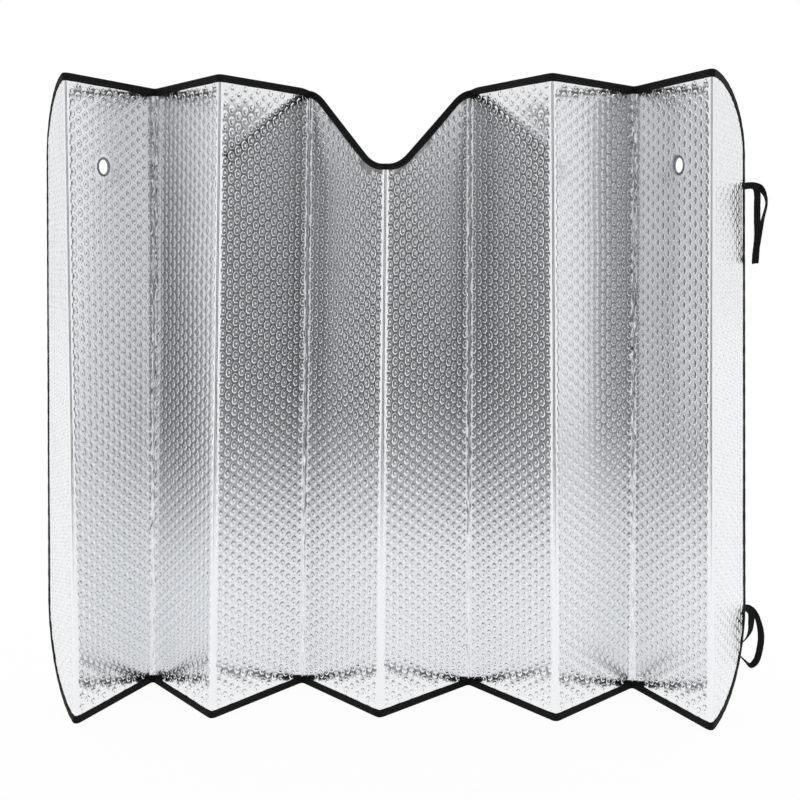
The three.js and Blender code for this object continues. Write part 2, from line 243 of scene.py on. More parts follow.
feet = centres[:, None] + FOOT_RADIUS * ring_of(8, 0.5)
crowns = centres[:, None] + lean + CROWN_RADIUS * ring_of(5, 0.25) * size
# The bubbles next to a crease are cut short at its weld
for group, nearest in ((feet, 0.0025), (crowns, 0.0038)):
    crease = np.round(group[..., 0] / PANEL) * PANEL
    away = group[..., 0] - crease
    inner = (crease > 0.01) & (crease < WIDTH - 0.01) & (np.abs(away) < nearest)
    group[..., 0] = np.where(inner, crease + np.sign(away) * nearest, group[..., 0])
fill = rng.normal(1, 0.06, (len(centres), 1))

points = [feet.reshape(-1, 2), crowns.reshape(-1, 2)]
rises = [np.zeros(len(points[0])), (CROWN_RISE * fill + np.zeros((1, 5))).reshape(-1)]
corners = np.arange(len(centres))[:, None] * 8 + np.arange(8)
fixed_edges = np.stack([corners, np.roll(corners, -1, axis=1)], -1).reshape(-1, 2).tolist()


def add_line(line, closed=False):
    """Adds points whose joining edges the mesh keeps."""
    start = sum(len(group) for group in points)
    points.append(line)
    rises.append(np.zeros(len(line)))
    fixed_edges.extend((start + i, start + i + 1) for i in range(len(line) - 1))
    if closed:
        fixed_edges.append((start + len(line) - 1, start))


add_line((EDGE + INWARD * FILM_EDGE)[::6], closed=True)
for s, z in HOLES:
    for radius in HOLE_CIRCLES:
        around = np.linspace(0, 2 * math.pi, 28, endpoint=False)
        circle = [s + radius * np.cos(around), z + radius * np.sin(around)]
        add_line(np.stack(circle, -1), closed=True)
for i in range(1, 10):
    for across in CREASE_LINES:
        s = i * PANEL + across
        z = np.arange(0.0012, HEIGHT, 0.0065)
        top = np.interp(s, bottom_s, top_z) - 0.0012
        z = np.append(z[z < top - 0.003], top)
        add_line(np.stack([z * 0 + s, z], -1))

points = np.concatenate(points)
rises = np.concatenate(rises)
made = delaunay_2d_cdt([Vector(p) for p in points], fixed_edges, [], 0, 1e-7)
flat = np.array([tuple(v) for v in made[0]])
triangles = np.array(made[2])
source = np.array([ids[0] if ids else -1 for ids in made[3]])
rises = np.where(source < 0, 0, rises[source])
from_centre = np.zeros((len(flat), 3))
raised = np.zeros(len(flat), bool)
slope = np.zeros(len(flat))
first = 0
for k, group in enumerate((feet, crowns)):
    offsets = (group - centres[:, None]).reshape(-1, 2)
    mine = (source >= first) & (source < first + len(offsets))
    from_centre[mine, :2] = offsets[source[mine] - first]
    from_centre[mine, 2] = k
    raised[mine] = k == 1
    slope[mine] = (FOOT_SLOPE, CROWN_SLOPE)[k]
    first += len(offsets)
middles = flat[triangles].mean(axis=1)
keep = inset_of(middles) > FILM_EDGE + 0.0001
for s, z in HOLES:
    keep &= np.hypot(middles[:, 0] - s, middles[:, 1] - z) > HOLE_CIRCLES[0]
triangles = triangles[keep]
insets = inset_of(flat)
from_crease = np.abs(flat[:, 0] - np.round(flat[:, 0] / PANEL) * PANEL)
from_crease[(flat[:, 0] < 0.065) | (flat[:, 0] > WIDTH - 0.065)] = 1

# How full the bubbles are: flat at the sealed edge, along the welds and round the holes
fullness = np.clip((insets - SEALED_EDGE) / 0.0025, 0, 1)
fullness = np.minimum(fullness, np.clip((from_crease - 0.0022) / 0.0014, 0, 1))
for s, z in HOLES:
    away = np.hypot(flat[:, 0] - s, flat[:, 1] - z)
    fullness = np.minimum(fullness, np.clip((away - HOLE_CIRCLES[-1]) / 0.0015, 0, 1))

# Loose film: long soft waves over the panels, and crumples along the creases that fold back
waves = np.zeros(len(flat))
for length, height in ((0.17, 1.2e-4), (0.11, 9e-5), (0.075, 5e-5), (0.05, 3e-5)):
    for _ in range(4):
        heading = rng.uniform(-1.2, 1.2)
        phase = rng.uniform(0, 2 * math.pi)
        across = flat[:, 0] * math.cos(heading) + flat[:, 1] * math.sin(heading)
        waves += height * np.sin(2 * math.pi * across / length + phase)
waves *= np.clip((insets - 0.0075) / 0.02, 0, 1)
waves *= np.clip(from_crease / 0.03, 0.15, 1)
for s, z in HOLES:
    away = np.hypot(flat[:, 0] - s, flat[:, 1] - z)
    waves *= np.clip((away - HOLE_CIRCLES[-1]) / 0.02, 0, 1)
crease_number = np.round(flat[:, 0] / PANEL)
far_crease = (crease_number % 2 == 0) & (from_crease < 0.5)
crumple = np.where(far_crease, np.exp(-((from_crease / 0.006) ** 2)), 0)
crumple *= np.clip((insets - 0.008) / 0.01, 0, 1)
outer_crease = (crease_number == 2) | (crease_number == 8)
worn = 1 + 1.1 * outer_crease * np.clip((flat[:, 1] - 0.15) / 0.25, 0, 1)
waves += crumple * worn * rng.normal(0, 3.5e-4, len(flat))
rises *= 1 - crumple * rng.uniform(0.2, 0.9, len(flat))
surface = WELD_LEVEL + fullness * (WEB_LEVEL - WELD_LEVEL + rises)


def add_piece(name, vertices, faces):
    mesh = bpy.data.meshes.new(name)
    mesh.from_pydata(vertices.tolist(), [], faces)
    mesh.polygons.foreach_set("use_smooth", [True] * len(mesh.polygons))
    piece = bpy.data.objects.new(name, mesh)
    bpy.context.scene.collection.objects.link(piece)
    return piece


def add_values(piece, name, values):
    """Three numbers a point, for a material to read."""
    field = piece.data.attributes.new(name, "FLOAT_VECTOR", "POINT")
    field.data.foreach_set("vector", np.asarray(values, float).ravel())


# Which way the film faces; the second panel reflects as if turned, the third as if bowed
bent = off_crease(flat[:, 0], flat[:, 1])
share_up = flat[:, 1] / HEIGHT
turns = on_line(FOOT_LINE, bent)[2] * (1 - share_up) + on_line(HEAD_LINE, bent)[2] * share_up
for number, turn_in, turn_out in ((1, 2.2, 2.2), (2, -2.2, 1.2)):
    along = np.clip((flat[:, 0] - number * PANEL) / PANEL, 0, 1)
    on_panel = np.clip(along * 16, 0, 1) * np.clip((1 - along) * 16, 0, 1)
    turns = turns + np.radians(turn_in + (turn_out - turn_in) * along) * on_panel
panel_normal = np.stack([np.sin(turns), -np.cos(turns), turns * 0], -1)
panel_across = np.stack([np.cos(turns), np.sin(turns), turns * 0], -1)
length = np.maximum(np.linalg.norm(from_centre[:, :2], axis=1), 1e-6)
outward = from_centre[:, :2] / length[:, None]
dome_normal = panel_normal * np.cos(slope)[:, None]
dome_normal += panel_across * (outward[:, :1] * np.sin(slope)[:, None])
dome_normal[:, 2] += outward[:, 1] * np.sin(slope)
on_bubble = raised[triangles].any(axis=1)


def finish_film(piece, faces, side):
    """Gives the film its smooth domes and every point's place on its bubble."""
    mesh = piece.data
    mine = np.zeros(len(mesh.vertices) * 3)
    mesh.vertex_normals.foreach_get("vector", mine)
    mine = mine.reshape(-1, 3)
    domes = np.where(side > 0, dome_normal, dome_normal - 2 * panel_normal * np.cos(slope)[:, None])
    share = (fullness * (1 - crumple))[:, None]
    dome_corners = (domes * share + mine * (1 - share))[faces]
    web_corners = (side * panel_normal * share + mine * (1 - share))[faces]
    corners = np.where(on_bubble[:, None, None], dome_corners, web_corners).reshape(-1, 3)
    corners /= np.linalg.norm(corners, axis=1)[:, None]
    mesh.normals_split_custom_set(corners.tolist())
    add_values(piece, "place", from_centre)
    add_values(piece, "panel_normal", side * panel_normal)


front = folded(flat[:, 0], flat[:, 1], waves + surface)
film_front = add_piece("film_front", front, triangles.tolist())
finish_film(film_front, triangles, 1)
foil = bpy.data.materials.new("foil")
foil.use_nodes = True
nodes = foil.node_tree.nodes
links = foil.node_tree.links
shader = nodes["Principled BSDF"]
shader.inputs["Base Color"].default_value = (0.915, 0.925, 0.94, 1)
shader.inputs["Metallic"].default_value = 1
shader.inputs["Roughness"].default_value = 0.15
smooth = nodes.new("ShaderNodeAttribute")
smooth.attribute_name = "panel_normal"
ray = nodes.new("ShaderNodeLightPath")
chosen = nodes.new("ShaderNodeMix")
chosen.data_type = "VECTOR"
links.new(ray.outputs["Is Glossy Ray"], chosen.inputs["Factor"])
place = nodes.new("ShaderNodeAttribute")
place.attribute_name = "place"
split = nodes.new("ShaderNodeSeparateXYZ")
links.new(place.outputs["Vector"], split.inputs[0])
flatten = nodes.new("ShaderNodeVectorMath")
flatten.operation = "MULTIPLY"
flatten.inputs[1].default_value = (1, 1, 0)
links.new(place.outputs["Vector"], flatten.inputs[0])
radius = nodes.new("ShaderNodeVectorMath")
radius.operation = "LENGTH"
links.new(flatten.outputs["Vector"], radius.inputs[0])
dimple = nodes.new("ShaderNodeMapRange")
dimple.interpolation_type = "SMOOTHSTEP"
dimple.inputs["From Min"].default_value = 0.0017
dimple.inputs["From Max"].default_value = 0.0
links.new(radius.outputs["Value"], dimple.inputs["Value"])
masked = nodes.new("ShaderNodeMath")
masked.operation = "GREATER_THAN"
masked.inputs[1].default_value = 0.995
links.new(split.outputs["Z"], masked.inputs[0])
depth = nodes.new("ShaderNodeMath")
depth.operation = "MULTIPLY"
links.new(dimple.outputs[0], depth.inputs[0])
links.new(masked.outputs[0], depth.inputs[1])
bump = nodes.new("ShaderNodeBump")
bump.invert = True
bump.inputs["Distance"].default_value = 0.0005
bump.inputs["Strength"].default_value = 1
links.new(depth.outputs[0], bump.inputs["Height"])
links.new(bump.outputs["Normal"], chosen.inputs["A"])
links.new(smooth.outputs["Vector"], chosen.inputs["B"])
links.new(chosen.outputs["Result"], shader.inputs["Normal"])
film_front.data.materials.append(foil)
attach(film_front, "root")
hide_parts("foil_sheet")

# Back film: the same thin aluminised plastic, its bubbles standing out behind the front ones.
# It meets the front film at the welds, so both are one folded sheet.
rear = folded(flat[:, 0], flat[:, 1], waves - surface)
rear_triangles = triangles[:, ::-1]
film_back = add_piece("film_back", rear, rear_triangles.tolist())
finish_film(film_back, rear_triangles, -1)
film_back.data.materials.append(foil)
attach(film_back, "root")

# Rims of the two punched holes: both films crimped together round each hole by the punch.
# They close the hole's edge and lie flat on the films, wrinkled in a swirl.
RIM = (
    (0.0098, -0.00030),
    (0.0092, -0.00064),
    (0.0084, -0.00085),
    (0.0075, -0.00090),
    (0.0069, -0.00065),
    (0.0068, -0.00020),
    (0.0068, 0.00020),
    (0.0069, 0.00065),
    (0.0075, 0.00090),
    (0.0084, 0.00085),
    (0.0092, 0.00064),
    (0.0098, 0.00030),
)
AROUND = 120
vertices = []
faces = []
for hole, (s, z) in enumerate(HOLES):
    angle = np.linspace(0, 2 * math.pi, AROUND, endpoint=False)
    uneven = 1 + 0.35 * np.sin(3 * angle + hole) + 0.25 * np.sin(5 * angle + 2.1)
    start = hole * AROUND * len(RIM)
    for out_radius, level in RIM:
        swirl = 13 * angle + 900 * (out_radius - 0.0068)
        wrinkle = 0.00011 * uneven * np.sin(swirl) * np.clip(abs(level) / 0.0006 - 0.5, 0, 1)
        ragged = 0.04 * np.sin(2 * angle + 2 * hole + 1) + 0.02 * np.sin(13 * angle + 1)
        reach = out_radius * (1 + ragged * (out_radius > 0.0080))
        rise = level + np.sign(level) * wrinkle
        vertices.append(folded(s + reach * np.cos(angle), z + reach * np.sin(angle), rise))
    for k in range(len(RIM)):
        here = start + k * AROUND
        there = start + (k + 1) % len(RIM) * AROUND
        for i in range(AROUND):
            j = (i + 1) % AROUND
            faces.append((here + i, there + i, there + j, here + j))
hole_rims = add_piece("hole_rims", np.concatenate(vertices), faces)
crimped = bpy.data.materials.new("crimped_foil")
crimped.use_nodes = True
nodes = crimped.node_tree.nodes
links = crimped.node_tree.links
shader = nodes["Principled BSDF"]
shader.inputs["Metallic"].default_value = 1
shader.inputs["Roughness"].default_value = 0.24
coordinates = nodes.new("ShaderNodeTexCoord")
grain = nodes.new("ShaderNodeTexNoise")
grain.inputs["Scale"].default_value = 900
grain.inputs["Detail"].default_value = 3
links.new(coordinates.outputs["Object"], grain.inputs["Vector"])
tint = nodes.new("ShaderNodeValToRGB")
tint.color_ramp.elements[0].position = 0.35
tint.color_ramp.elements[0].color = (0.22, 0.225, 0.235, 1)
tint.color_ramp.elements[1].position = 0.65
tint.color_ramp.elements[1].color = (0.40, 0.41, 0.425, 1)
links.new(grain.outputs[0], tint.inputs[0])
links.new(tint.outputs[0], shader.inputs["Base Color"])
bump = nodes.new("ShaderNodeBump")
bump.inputs["Distance"].default_value = 0.0002
bump.inputs["Strength"].default_value = 0.6
links.new(grain.outputs[0], bump.inputs["Height"])
links.new(bump.outputs["Normal"], shader.inputs["Normal"])
hole_rims.data.materials.append(crimped)
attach(hole_rims, "root")

# Edge binding: one black woven tape, folded over the cut edge all the way round.
# It is sewn through the welded margin, so its inner edge draws in a little at every stitch.
STITCH = ROUND / round(ROUND / 0.0036)
TAPE_WIDTH = 0.0073
SEAM = 0.0017
even, edge, inward = edge_stations(STITCH / 3)
phase = even / STITCH
notch_middle = (edge[:, 1] > 0.4) * np.exp(-(((edge[:, 0] - WIDTH / 2) / 0.030) ** 2))
notch_flanks = (edge[:, 1] > 0.4) * np.exp(-(((np.abs(edge[:, 0] - WIDTH / 2) - 0.07) / 0.03) ** 2))
wander = np.sin(even * 41) * np.sin(even * 13 + 1) + 0.5 * np.sin(even * 97 + 2)
tape = TAPE_WIDTH - 0.0015 * notch_middle + 0.0003 * notch_flanks + 0.00018 * wander
draw = np.where(np.round(phase * 3) % 3 == 0, 1.0, 0.0)
pucker = 0.00007 * np.sin(even * 2 * math.pi / 0.021)
pucker += 0.00005 * np.sin(even * 2 * math.pi / 0.0127)


def tape_profile(width, drawn):
    """Pairs of inset and distance out of the mid-film, round the folded tape's section."""
    front = [
        (width - 0.00012 * drawn, 0.00058),
        (width - 0.00015 * drawn, 0.00088),
        (width - 0.00025, 0.00102 - 0.00005 * drawn),
        (width - SEAM, 0.00104 - 0.00016 * drawn),
        (width - SEAM - 0.0010, 0.00108 - 0.00003 * drawn),
        (0.0016 + width * 0, 0.00112 + drawn * 0),
        (0.0006 + width * 0, 0.00100 + drawn * 0),
        (0.0001 + width * 0, 0.00058 + drawn * 0),
    ]
    back = [(inset, -out) for inset, out in reversed(front)]
    inside = [(0.0008 + width * 0, -0.00056 + drawn * 0), (0.0008 + width * 0, 0.00056 + drawn * 0)]
    return front + back + inside


profile = tape_profile(tape, draw)
rings = []
places = []
for inset, out in profile:
    at = edge + inward * inset[:, None]
    rings.append(folded(at[:, 0], at[:, 1], out + np.sign(out) * pucker * (np.abs(out) > 0.0008)))
    places.append(np.stack([even, inset * np.sign(out), even * 0], -1))
vertices = np.stack(rings, 1).reshape(-1, 3)
places = np.stack(places, 1).reshape(-1, 3)
sides = len(profile)
here = np.arange(len(edge))[:, None] * sides
there = (np.arange(len(edge))[:, None] + 1) % len(edge) * sides
one = np.arange(sides)[None]
two = (one + 1) % sides
faces = np.stack([here + one, here + two, there + two, there + one], -1).reshape(-1, 4)
binding = add_piece("binding_tape", vertices, faces.tolist())
add_values(binding, "run", places)
woven = bpy.data.materials.new("woven_tape")
woven.use_nodes = True
nodes = woven.node_tree.nodes
links = woven.node_tree.links
shader = nodes["Principled BSDF"]
shader.inputs["Roughness"].default_value = 0.85
shader.inputs["Specular IOR Level"].default_value = 0.2
run_along = nodes.new("ShaderNodeAttribute")
run_along.attribute_name = "run"
stretch = nodes.new("ShaderNodeMapping")
stretch.inputs["Scale"].default_value = (1, 1.6, 1)
links.new(run_along.outputs["Vector"], stretch.inputs["Vector"])
weft = nodes.new("ShaderNodeTexWave")
weft.bands_direction = "X"
weft.inputs["Scale"].default_value = 500
weft.inputs["Distortion"].default_value = 0.8
links.new(stretch.outputs["Vector"], weft.inputs["Vector"])
fuzz = nodes.new("ShaderNodeTexNoise")
fuzz.inputs["Scale"].default_value = 1400
fuzz.inputs["Detail"].default_value = 2
links.new(stretch.outputs["Vector"], fuzz.inputs["Vector"])
tone = nodes.new("ShaderNodeMath")
tone.operation = "MULTIPLY"
links.new(weft.outputs[1], tone.inputs[0])
links.new(fuzz.outputs[0], tone.inputs[1])
tint = nodes.new("ShaderNodeValToRGB")
tint.color_ramp.elements[0].color = (0.0030, 0.0032, 0.0038, 1)
tint.color_ramp.elements[1].color = (0.0150, 0.0155, 0.0170, 1)
links.new(tone.outputs[0], tint.inputs[0])
links.new(tint.outputs[0], shader.inputs["Base Color"])
bump = nodes.new("ShaderNodeBump")
bump.inputs["Distance"].default_value = 0.00015
bump.inputs["Strength"].default_value = 0.7
links.new(tone.outputs[0], bump.inputs["Height"])
links.new(bump.outputs["Normal"], shader.inputs["Normal"])
binding.data.materials.append(woven)
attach(binding, "root")
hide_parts("edge_binding")

# Sewing thread of the binding: black polyester, one lockstitch row near the tape's inner edge.
# Each stitch shows on the front and on the back, sunk a little in the tape.
THREAD = 0.00021
# Where along a stitch its five rings lie, their thickness, and their rise out of the tape
STITCH_RINGS = (
    (0, 0.35, -1.2),
    (0.12, 0.9, -0.1),
    (0.5, 1, 0.25),
    (0.88, 0.9, -0.1),
    (1, 0.35, -1.2),
)


def add_stitches(name, starts, ends, faces_out):
    """Short round stitches from start to end, arched out of the surface they lie on."""
    along = ends - starts
    along /= np.linalg.norm(along, axis=1)[:, None]
    beside = np.cross(along, faces_out)
    beside /= np.linalg.norm(beside, axis=1)[:, None]
    angle = np.linspace(0, 2 * math.pi, 6, endpoint=False)
    rings = []
    for share, thick, rise in STITCH_RINGS:
        centre = starts + (ends - starts) * share + faces_out * (rise * THREAD)
        ring = centre[:, None] + THREAD * thick * (
            beside[:, None] * np.cos(angle)[None, :, None]
            + faces_out[:, None] * np.sin(angle)[None, :, None]
        )
        rings.append(ring)
    vertices = np.stack(rings, 1).reshape(-1, 3)
    faces = []
    caps = []
    for stitch in range(len(starts)):
        base = stitch * 30
        for ring in range(4):
            for k in range(6):
                a = base + ring * 6 + k
                b = base + ring * 6 + (k + 1) % 6
                faces.append((a, b, b + 6, a + 6))
        caps.append([base + k for k in range(5, -1, -1)])
        caps.append([base + 24 + k for k in range(6)])
    return add_piece(name, vertices, faces + caps)


seam = edge + inward * (tape - SEAM)[:, None]
first = np.arange(0, len(edge), 3)
second = (first + 3) % len(edge)
starts = []
ends = []
outs = []
for side in (1, -1):
    level = side * 0.00100
    a = folded(*(seam[first] * 0.86 + seam[second] * 0.14).T, level)
    b = folded(*(seam[first] * 0.14 + seam[second] * 0.86).T, level)
    lifted = folded(*seam[first].T, level + side * 0.001) - folded(*seam[first].T, level)
    near = np.linalg.norm(seam[first] - seam[second], axis=1) < 0.01
    starts.append(a[near])
    ends.append(b[near])
    outs.append(lifted[near] / 0.001)
binding_thread = add_stitches(
    "binding_thread", np.concatenate(starts), np.concatenate(ends), np.concatenate(outs)
)
thread = bpy.data.materials.new("black_thread")
thread.use_nodes = True
nodes = thread.node_tree.nodes
links = thread.node_tree.links
shader = nodes["Principled BSDF"]
shader.inputs["Roughness"].default_value = 0.55
shader.inputs["Specular IOR Level"].default_value = 0.35
coordinates = nodes.new("ShaderNodeTexCoord")
twist = nodes.new("ShaderNodeTexNoise")
twist.inputs["Scale"].default_value = 2500
links.new(coordinates.outputs["Object"], twist.inputs["Vector"])
tint = nodes.new("ShaderNodeValToRGB")
tint.color_ramp.elements[0].color = (0.006, 0.006, 0.007, 1)
tint.color_ramp.elements[1].color = (0.022, 0.022, 0.025, 1)
links.new(twist.outputs[0], tint.inputs[0])
links.new(tint.outputs[0], shader.inputs["Base Color"])
bump = nodes.new("ShaderNodeBump")
bump.inputs["Distance"].default_value = 0.0001
bump.inputs["Strength"].default_value = 0.5
links.new(twist.outputs[0], bump.inputs["Height"])
links.new(bump.outputs["Normal"], shader.inputs["Normal"])
binding_thread.data.materials.append(thread)
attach(binding_thread, "root")

# Upper strap: a loop of black ribbed elastic, 6.5 mm wide and 1 mm thick.
# Both its ends are sewn to the back of the binding on the right edge.
STRAP_WIDTH = 0.0065
STRAP_THICKNESS = 0.0010
UPPER_ROUTE = (
    (8.1, 6.0, 1.4, 0),
    (12.8, 7.0, -0.2, 0),
    (14.8, 7.4, -6.0, 0),
    (15.0, 7.5, -19.0, 0),
    (15.2, 7.5, -34.0, 0),
    (15.7, 7.5, -47.0, 0),
    (14.8, 7.5, -61.0, 0),
    (14.1, 7.5, -73.6, 0),
    (14.2, 8.6, -74.7, 0),
    (14.3, 9.7, -73.6, 0),
    (15.2, 9.6, -61.0, 10),
    (17.5, 9.6, -48.0, 45),
    (21.3, 9.8, -31.5, 80),
    (24.8, 10.0, -15.8, 90),
    (23.3, 10.0, -8.0, 75),
    (18.4, 9.6, -0.6, 30),
    (10.6, 8.2, 1.7, 0),
)


def catmull_rom(points, shares):
    """Centripetal curve through the points: places and directions at the given shares."""
    before = 2 * points[0] - points[1]
    after = 2 * points[-1] - points[-2]
    chain = np.concatenate([[before], points, [after]])
    place = np.clip(shares, 0, 1) * (len(points) - 1)
    first = np.minimum(place.astype(int), len(points) - 2)
    t = (place - first)[:, None]
    p0, p1, p2, p3 = (chain[first + k] for k in range(4))
    pairs = ((p0, p1), (p1, p2), (p2, p3))
    g0, g1, g2 = (np.sqrt(np.linalg.norm(b - a, axis=1))[:, None] for a, b in pairs)
    m1 = ((p1 - p0) / g0 - (p2 - p0) / (g0 + g1) + (p2 - p1) / g1) * g1
    m2 = ((p2 - p1) / g1 - (p3 - p1) / (g1 + g2) + (p3 - p2) / g2) * g1
    c2 = -3 * p1 + 3 * p2 - 2 * m1 - m2
    c3 = 2 * p1 - 2 * p2 + m1 + m2
    ahead = m1 + 2 * c2 * t + 3 * c3 * t**2
    return p1 + m1 * t + c2 * t**2 + c3 * t**3, ahead / np.linalg.norm(ahead, axis=1)[:, None]


def add_strap(name, height, route):
    route = np.array(route) * (0.001, 0.001, 0.001, 1)
    root = folded(WIDTH, height, 0)
    outward = folded(WIDTH, height, 0) - folded(WIDTH - 0.01, height, 0)
    outward /= np.linalg.norm(outward)
    back = np.array([-outward[1], outward[0], 0])

    def seat(along, layer):
        behind = 0.0012 + 0.0003 + STRAP_THICKNESS / 2 + layer * (STRAP_THICKNESS + 0.0003)
        return root + outward * along + back * behind

    stops = [seat(-0.006, 0), seat(-0.003, 0), seat(0, 0)]
    stops += [root + stop[:3] for stop in route]
    stops += [seat(0, 1), seat(-0.003, 1), seat(-0.006, 1)]
    facings = np.concatenate([[0, 0, 0], route[:, 3], [0, 0, 0]])
    shares = np.linspace(0, 1, 221)
    centres, tangents = catmull_rom(np.array(stops), shares)
    facing = np.radians(np.interp(shares * (len(stops) - 1), np.arange(len(stops)), facings))
    viewing = np.array([0, 1.0, 0])
    last = np.array([0, 0, 1.0])
    widths = []
    for tangent, turn in zip(tangents, facing):
        broadside = np.cross(tangent, viewing)
        width = last.copy()
        if np.linalg.norm(broadside) > 0.3:
            broadside /= np.linalg.norm(broadside)
            width = broadside * math.cos(turn) + viewing * math.sin(turn)
        width -= tangent * width.dot(tangent)
        width /= np.linalg.norm(width)
        if width.dot(last) < 0:
            width = -width
        last = width
        widths.append(width)
    widths = np.array(widths)
    for _ in range(3):
        widths[1:-1] = (widths[:-2] + widths[1:-1] + widths[2:]) / 3
    widths /= np.linalg.norm(widths, axis=1)[:, None]
    normals = np.cross(tangents, widths)
    ribs = np.linspace(-1, 1, 15)
    thick = np.where(np.arange(15) % 2 == 0, 0.80, 1.0)
    thick[[0, -1]] = 0.55
    near_side = list(zip(ribs, thick))
    section = near_side + [(w, -t) for w, t in reversed(near_side)]
    run = np.concatenate([[0], np.cumsum(np.linalg.norm(np.diff(centres, axis=0), axis=1))])
    snug = 1 + 0.015 * np.sin(run * 900)
    rings = []
    places = []
    for w, t in section:
        side_by = widths * (w * STRAP_WIDTH / 2 * snug)[:, None]
        rings.append(centres + side_by + normals * (t * STRAP_THICKNESS / 2))
        places.append(np.stack([run, run * 0 + w * STRAP_WIDTH / 2, run * 0], -1))
    vertices = np.stack(rings, 1).reshape(-1, 3)
    count = len(section)
    here = np.arange(len(centres) - 1)[:, None] * count
    one = np.arange(count)[None]
    two = (one + 1) % count
    there = here + count
    faces = np.stack([here + one, here + two, there + two, there + one], -1).reshape(-1, 4)
    ends = [list(range(count - 1, -1, -1)), list(range(len(vertices) - count, len(vertices)))]
    piece = add_piece(name, vertices, faces.tolist() + ends)
    add_values(piece, "run", np.stack(places, 1).reshape(-1, 3))
    return piece


upper_loop = add_strap("upper_loop", 0.502, UPPER_ROUTE)
elastic = bpy.data.materials.new("ribbed_elastic")
elastic.use_nodes = True
nodes = elastic.node_tree.nodes
links = elastic.node_tree.links
shader = nodes["Principled BSDF"]
shader.inputs["Roughness"].default_value = 0.8
shader.inputs["Specular IOR Level"].default_value = 0.2
run_along = nodes.new("ShaderNodeAttribute")
run_along.attribute_name = "run"
knit = nodes.new("ShaderNodeTexWave")
knit.bands_direction = "X"
knit.inputs["Scale"].default_value = 380
knit.inputs["Distortion"].default_value = 1.5
knit.inputs["Detail Scale"].default_value = 3
links.new(run_along.outputs["Vector"], knit.inputs["Vector"])
tint = nodes.new("ShaderNodeValToRGB")
tint.color_ramp.elements[0].color = (0.0030, 0.0031, 0.0035, 1)
tint.color_ramp.elements[1].color = (0.0130, 0.0135, 0.0150, 1)
links.new(knit.outputs[1], tint.inputs[0])
links.new(tint.outputs[0], shader.inputs["Base Color"])
bump = nodes.new("ShaderNodeBump")
bump.inputs["Distance"].default_value = 0.00015
bump.inputs["Strength"].default_value = 0.6
links.new(knit.outputs[1], bump.inputs["Height"])
links.new(bump.outputs["Normal"], shader.inputs["Normal"])
upper_loop.data.materials.append(elastic)
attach(upper_loop, "root")
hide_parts("upper_strap")

# Lower strap: the same ribbed elastic, a shorter loop that hangs down with a half twist.
# Its ends are sewn to the back of the binding as the upper one's are.
LOWER_ROUTE = (
    (5.1, 4.6, -2.5, 0),
    (8.0, 5.6, -6.7, 0),
    (8.2, 5.8, -14.9, 10),
    (7.5, 6.2, -24.2, 35),
    (4.5, 7.4, -31.7, 60),
    (0.3, 8.8, -37.4, 70),
    (-4.7, 10.6, -42.2, 80),
    (-5.9, 11.6, -47.1, 88),
    (-1.1, 11.6, -51.8, 88),
    (4.0, 11.2, -56.8, 80),
    (9.3, 10.6, -61.3, 60),
    (14.5, 10.0, -56.9, 30),
    (18.2, 9.6, -44.0, 12),
    (19.2, 9.2, -29.6, 25),
    (16.1, 8.8, -14.7, 50),
    (11.6, 8.2, -6.4, 25),
    (6.2, 7.0, -1.8, 0),
)
lower_loop = add_strap("lower_loop", 0.083, LOWER_ROUTE)
lower_loop.data.materials.append(elastic)
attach(lower_loop, "root")
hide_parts("lower_strap")

# Bar tacks: close rows of black polyester thread, the same as the binding's.
# They are sewn across the binding and hold the ends of both straps to it.
TACK_ROWS = 9
starts = []
ends = []
outs = []
for height in (0.502, 0.083):
    for row in range(TACK_ROWS):
        z = height + (row - (TACK_ROWS - 1) / 2) * 0.0006
        a = folded(WIDTH - 0.0014, z, 0.00114)
        b = folded(WIDTH - 0.0052, z + 0.0003, 0.00114)
        starts.append(a)
        ends.append(b)
        outs.append((folded(WIDTH - 0.003, z, 0.002) - folded(WIDTH - 0.003, z, 0.001)) / 0.001)
strap_tacks = add_stitches("strap_tacks", np.array(starts), np.array(ends), np.array(outs))
strap_tacks.data.materials.append(thread)
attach(strap_tacks, "root")

# Stage: a white floor that keeps the shade's shadow and glows for the camera.
# In the foil it is darker toward the studio wall, below that wall's dark parts.
bpy.ops.mesh.primitive_plane_add(size=12, location=(0, 0, 0))
floor = bpy.context.object
floor.name = "floor"
white = bpy.data.materials.new("floor")
white.use_nodes = True
nodes = white.node_tree.nodes
links = white.node_tree.links
nodes.clear()
output = nodes.new("ShaderNodeOutputMaterial")
diffuse = nodes.new("ShaderNodeBsdfDiffuse")
diffuse.inputs["Color"].default_value = (0.8, 0.8, 0.8, 1)
glow = nodes.new("ShaderNodeEmission")
glow.inputs["Color"].default_value = (1, 1, 1, 1)
path = nodes.new("ShaderNodeLightPath")
either = nodes.new("ShaderNodeMath")
either.operation = "MAXIMUM"
links.new(path.outputs["Is Camera Ray"], either.inputs[0])
links.new(path.outputs["Is Glossy Ray"], either.inputs[1])
share = nodes.new("ShaderNodeMath")
share.operation = "MULTIPLY"
share.inputs[1].default_value = 0.93
links.new(either.outputs[0], share.inputs[0])


# Metres off the studio's middle and how bright it is there
STUDIO_BANDS = (
    (0.294, 0.86),
    (0.328, 0.008),
    (0.38, 0.008),
    (0.47, 0.10),
    (0.90, 0.20),
    (1.00, 0.13),
    (1.10, 0.07),
    (1.18, 0.008),
    (1.40, 0.004),
    (1.51, 1.0),
)


